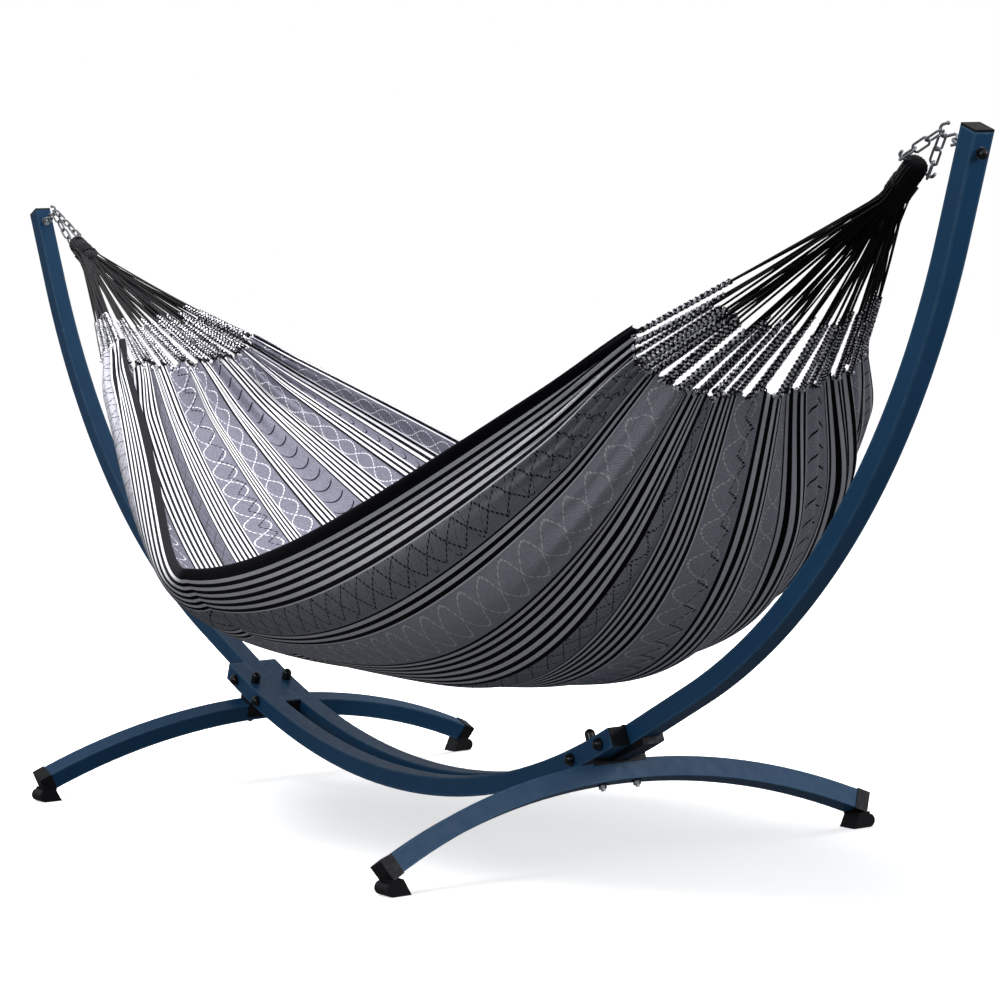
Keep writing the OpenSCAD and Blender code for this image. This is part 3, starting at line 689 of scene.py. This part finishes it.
# Run of the cords: their length inside the bundle, and how far they bow and sag between bundle and cloth
LEAD = 0.030
BOW_UP = 0.005
BOW_ACROSS = 0.003
CORD_SAG = np.array([0, 0, 0.004])
RUN_POINTS = 90
LEAD_POINTS = 6
# Thin cords and the plaits they run into
CORDS_IN_PLAIT = 3
CORD_RADIUS = 0.0018
CORD_SPREAD = (0.004, 0.010)
CORD_STEP = 0.012
PLAIT_START = 0.64
PLAIT_START_SPREAD = (-0.05, 0.06)
PLAIT_PITCH = (0.018, 0.023)
PLAIT_STEP = 0.003
STRAND_RADIUS = 0.0025
STRAND_ORBIT = 0.0028
STRAND_WEAVE = 0.32
KNOT_RADIUS = 0.0065
KNOT_POINTS = 15
# Hem of small loops: their size, and the columns left free at the selvedges and from loop to loop
HEM_LOOP = (0.003, 0.005)
HEM_RADIUS = 0.0015
HEM_POINTS = 13
HEM_OVERLAP = 0.002
HEM_MARGIN = 6
HEM_STEP = 2
BOW_SEED = 70
CORD_SEED = 90
# A direction that no cord runs in, for the first normal of a tube
SLANT = [0.13, 0.97, 0.21]


def unit(v):
    v = np.asarray(v, float)
    return v / np.linalg.norm(v)


def circle(turn, first, second):
    """Points of a unit circle at the angles in turn, from two directions, given once or for each angle."""
    return np.cos(turn)[:, None] * first + np.sin(turn)[:, None] * second


def frames_along(path):
    """Two steady normals at each point of a path."""
    tangent = np.gradient(path, axis=0)
    tangent /= np.linalg.norm(tangent, axis=1, keepdims=True)
    normal = np.cross(tangent[0], SLANT)
    normals = []
    for t in tangent:
        normal = normal - t * normal.dot(t)
        normal = normal / np.linalg.norm(normal)
        normals.append(normal)
    normals = np.array(normals)
    return normals, np.cross(tangent, normals)


class Tubes:
    """Gathers tubes into one mesh."""

    def __init__(self):
        self.points, self.faces, self.kinds, self.count = [], [], [], 0

    def add_rings(self, rings, kind=0):
        """Join rings of points, one after the other, into a tube that is closed at both ends."""
        steps, sides = rings.shape[:2]
        starts = self.count + np.arange(steps - 1)[:, None] * sides
        here = np.arange(sides)[None]
        a, b = starts + here, starts + (here + 1) % sides
        quads = np.stack([a, b, b + sides, a + sides], -1).reshape(-1, 4).tolist()
        last = self.count + (steps - 1) * sides
        caps = [list(range(self.count + sides - 1, self.count - 1, -1)), list(range(last, last + sides))]
        self.points.append(rings.reshape(-1, 3))
        self.faces += quads + caps
        self.kinds += [kind] * (len(quads) + len(caps))
        self.count += steps * sides

    def add(self, path, radius, kind=0, sides=6):
        """Round tube along a path."""
        normal, side = frames_along(path)
        turn = 2 * np.pi * np.arange(sides) / sides
        cos, sin = np.cos(turn)[None, :, None], np.sin(turn)[None, :, None]
        ring = normal[:, None] * cos + side[:, None] * sin
        self.add_rings(path[:, None] + ring * radius, kind)

    def piece(self, name, materials, side):
        points = np.concatenate(self.points)
        points[:, 0] *= side
        faces = self.faces if side > 0 else [f[::-1] for f in self.faces]
        return mesh_piece(name, points, faces, materials, self.kinds)


def bundle_axis(side):
    """Direction of a bundle, from its pin towards the cloth's end, in the plane of symmetry."""
    aim = bed_point(side, 1.0, np.array([AIM_W]))[0]
    aim[1] = 0
    return unit(aim - np.array(PIN[side]))


def cord_root(side, q):
    """Where a cord leaves the bundle; halfway between two neighbours for a cord of the second row."""
    axis = bundle_axis(side)
    roots = []
    for i in (math.floor(q), math.ceil(q)):
        column = i // CORD_ROWS - (CORDS // CORD_ROWS - 1) / 2
        row = (-1 if column > 0 else 1) * (1 - i % CORD_ROWS)
        roots.append(CORD_PITCH * (column * ACROSS + row * np.cross(ACROSS, axis)))
    return np.array(PIN[side]) + BUNDLE_LENGTH * axis + np.mean(roots, axis=0)


def cord_paths(side, feet):
    """Whole run of each end cord: out of the bundle, a slight bow, and down to the cloth."""
    rng = np.random.default_rng(BOW_SEED + side)
    axis = bundle_axis(side)
    t = np.linspace(0, 1, RUN_POINTS)[:, None]
    arch = np.sin(np.pi * t)
    paths = []
    for q, foot in zip(PLAIT_Q, feet):
        root = cord_root(side, q)
        inside = root - LEAD * axis
        run = foot - root
        bow = rng.uniform(-BOW_UP, BOW_UP) * unit(np.cross(run, [0, 1, 0.2]))
        bow = bow + rng.uniform(-BOW_ACROSS, BOW_ACROSS) * ACROSS
        lead = inside + (root - inside) * np.linspace(0, 1, LEAD_POINTS)[:-1, None]
        paths.append(np.concatenate([lead, root + run * t + bow * arch - CORD_SAG * arch]))
    return paths


def resample(path, start, end, step):
    """Points at even steps along part of a path, and the length reached at each."""
    reached = lengths_of(path)
    wanted = np.arange(start, end, step)
    return np.stack([np.interp(wanted, reached, path[:, k]) for k in range(3)], -1), wanted


def add_thin_cords(tubes, path, split, up, rng):
    """Cords that leave the bundle side by side and draw together where the plait starts."""
    line, s = resample(path, 0, split + CORD_STEP, CORD_STEP)
    share = (s / s[-1])[:, None]
    for k in range(CORDS_IN_PLAIT):
        turn = 2 * math.pi * k / CORDS_IN_PLAIT + rng.uniform(0, 6)
        spread = rng.uniform(*CORD_SPREAD)
        apart = spread * (math.cos(turn) * ACROSS + math.sin(turn) * up)
        tubes.add(line + apart * (1 - share) ** 1.3 + 0.15 * apart, CORD_RADIUS)


def add_plait(tubes, path, start, end, pitch, phase):
    """Round plait: two strands wind one way, two the other, over and under by turns."""
    line, s = resample(path, start, end, PLAIT_STEP)
    normal, side = frames_along(line)
    for k in range(4):
        way, under = (1, 0) if k % 2 == 0 else (-1, np.pi)
        turn = way * (2 * np.pi * s / pitch) + (k // 2) * np.pi + phase
        orbit = STRAND_ORBIT * (1 + STRAND_WEAVE * np.cos(4 * np.pi * s / pitch + under))
        tubes.add(line + orbit[:, None] * circle(turn, normal, side), STRAND_RADIUS, k % 2)


def end_cords(side, feet, hem, black, white):
    """Three black cords run from the bundle into each black and white plait, knotted to the cloth."""
    rng = np.random.default_rng(CORD_SEED + side)
    thin, thick = Tubes(), Tubes()
    axis = bundle_axis(side)
    up = np.cross(ACROSS, axis)
    turn = np.linspace(0, 2 * np.pi, KNOT_POINTS)
    for i, path in enumerate(cord_paths(side, feet)):
        total = lengths_of(path)[-1]
        split = LEAD + (total - LEAD) * (PLAIT_START + rng.uniform(*PLAIT_START_SPREAD))
        add_thin_cords(thin, path, split, up, rng)
        pitch = rng.uniform(*PLAIT_PITCH)
        add_plait(thick, path, split, total, pitch, phase=rng.uniform(0, 6))
        toward = unit(path[-1] - path[-4])
        aside = unit(np.cross(toward, [0, 0.2, 1]))
        thick.add(path[-1] + KNOT_RADIUS * circle(turn, toward, aside), STRAND_RADIUS, i % 2)
    turn = np.linspace(0, 2 * np.pi, HEM_POINTS)
    for k, place in enumerate(hem):
        lean = unit(rng.uniform(-1, 1, 3))
        ring = circle(turn, axis, unit(np.cross(axis, lean)))
        loop = place - HEM_OVERLAP * axis + rng.uniform(*HEM_LOOP) * ring
        thick.add(loop, HEM_RADIUS, 0 if k % 3 == 1 else 1)
    cords = thin.piece(SIDE_NAMES[side] + "_fan_cords", [black], side)
    braids = thick.piece(SIDE_NAMES[side] + "_plaits", [black, white], side)
    return cords, braids


# ---------------------------------------------------------------- cord bundles
# Outline of a bundle's core: distance from the pin along the bundle, and radius
CORE_OUTLINE = [(-0.0138, 0.005), (-0.0130, 0.0125), (-0.0100, 0.0170), (-0.004, 0.0195), (0.010, 0.0205),
                (0.036, 0.0200), (0.060, 0.0195), (0.078, 0.0195), (0.090, 0.0150), (0.100, 0.004)]
CORE_SIDES = 72
CORE_LOBES = 18
CORE_LOBE_DEPTH = 0.05
CORE_TWIST = 12
COIL_TURNS = 9
COIL_STEPS = 24
COIL_START = 0.034
COIL_PITCH = 0.0036
COIL_RADIUS = 0.0208
COIL_UNEVENNESS = 0.0004
COIL_CORD_RADIUS = 0.0019


def cord_bundle(side, black):
    """Wrapped neck: a lobed core that covers the pin's middle, and a coil of cord around it."""
    axis = bundle_axis(side)
    pin = np.array(PIN[side])
    up = np.cross(ACROSS, axis)
    turn = 2 * np.pi * np.arange(CORE_SIDES) / CORE_SIDES
    rings = []
    for z, radius in CORE_OUTLINE:
        lobes = radius * (1 + CORE_LOBE_DEPTH * np.cos(CORE_LOBES * turn + CORE_TWIST * z))
        rings.append(pin + z * axis + lobes[:, None] * circle(turn, ACROSS, up))
    neck = Tubes()
    neck.add_rings(np.array(rings))
    core = neck.piece(SIDE_NAMES[side] + "_bundle_core", [black], side)

    turn = np.linspace(0, 2 * np.pi * COIL_TURNS, COIL_TURNS * COIL_STEPS)
    z = COIL_START + COIL_PITCH * turn / (2 * np.pi)
    radius = COIL_RADIUS + COIL_UNEVENNESS * np.sin(turn * 0.37)
    coil = Tubes()
    coil.add(pin + z[:, None] * axis + radius[:, None] * circle(turn, ACROSS, up), COIL_CORD_RADIUS)
    wrap = coil.piece(SIDE_NAMES[side] + "_bundle_wrap", [black], side)
    wrap.parent = core
    return core


# ---------------------------------------------------------------- finishes of the CAD nodes
def finish_hardware():
    """Give each CAD node that stays the material of its kind, by the end of its name."""
    finishes = (
        (("_post", "_rail", "_foot_bar"), powder_coat()),
        (("_saddle", "_plug", "_plugs", "_top_cap", "_front_foot", "_rear_foot", "foot_bar_washers"),
         moulding()),
        (("_bolt_caps", "_dome_nuts"), gloss_cap()),
        (("_bolt", "_bolts", "_nuts", "_hook", "_chain", "_pin", "eye_bolt_washers"), zinc()),
    )
    for name, obj in frame["nodes"].items():
        wanted = next((material for endings, material in finishes if name.endswith(endings)), None)
        if wanted:
            for slot in obj.material_slots:
                slot.link = "OBJECT"
                slot.material = wanted


camera()
sky()
floor = pale_floor()
bpy.context.scene.view_settings.view_transform = "Standard"
finish_hardware()
black_yarn = yarn("black_yarn", BLACK_YARN_DARK, BLACK_LIGHTER, sheen=0.02, flecks=0.0)
white_yarn = yarn("white_yarn", WHITE_YARN_DARK, WHITE_YARN_LIGHT, sheen=0.12, flecks=0.10)
cloth, cloth_points = hammock_cloth()
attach(cloth, "hammock")
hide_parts("hammock_bed")
plaits = []
soft_pieces = [floor, cloth]
plait_columns = [np.argmin(np.abs(COLUMN_Q - q)) for q in PLAIT_Q]
for side, name in SIDE_NAMES.items():
    end_row = cloth_points[-1 if side > 0 else 0] * (side, 1, 1)
    feet = end_row[plait_columns]
    hem = end_row[HEM_MARGIN:-HEM_MARGIN:HEM_STEP]
    cords, braids = end_cords(side, feet, hem, black_yarn, white_yarn)
    bundle = cord_bundle(side, black_yarn)
    for piece, node, slot in ((cords, "_end_cords", "black_cord"), (braids, "_end_braids", "braided_cord"),
                              (bundle, "_cord_bundle", "black_cord")):
        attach(piece, "hammock")
        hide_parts(name + node)
    plaits.append(braids)
    soft_pieces += [cords, braids, bundle, *bundle.children]
lights(list(frame["nodes"].values()), plaits, soft_pieces)
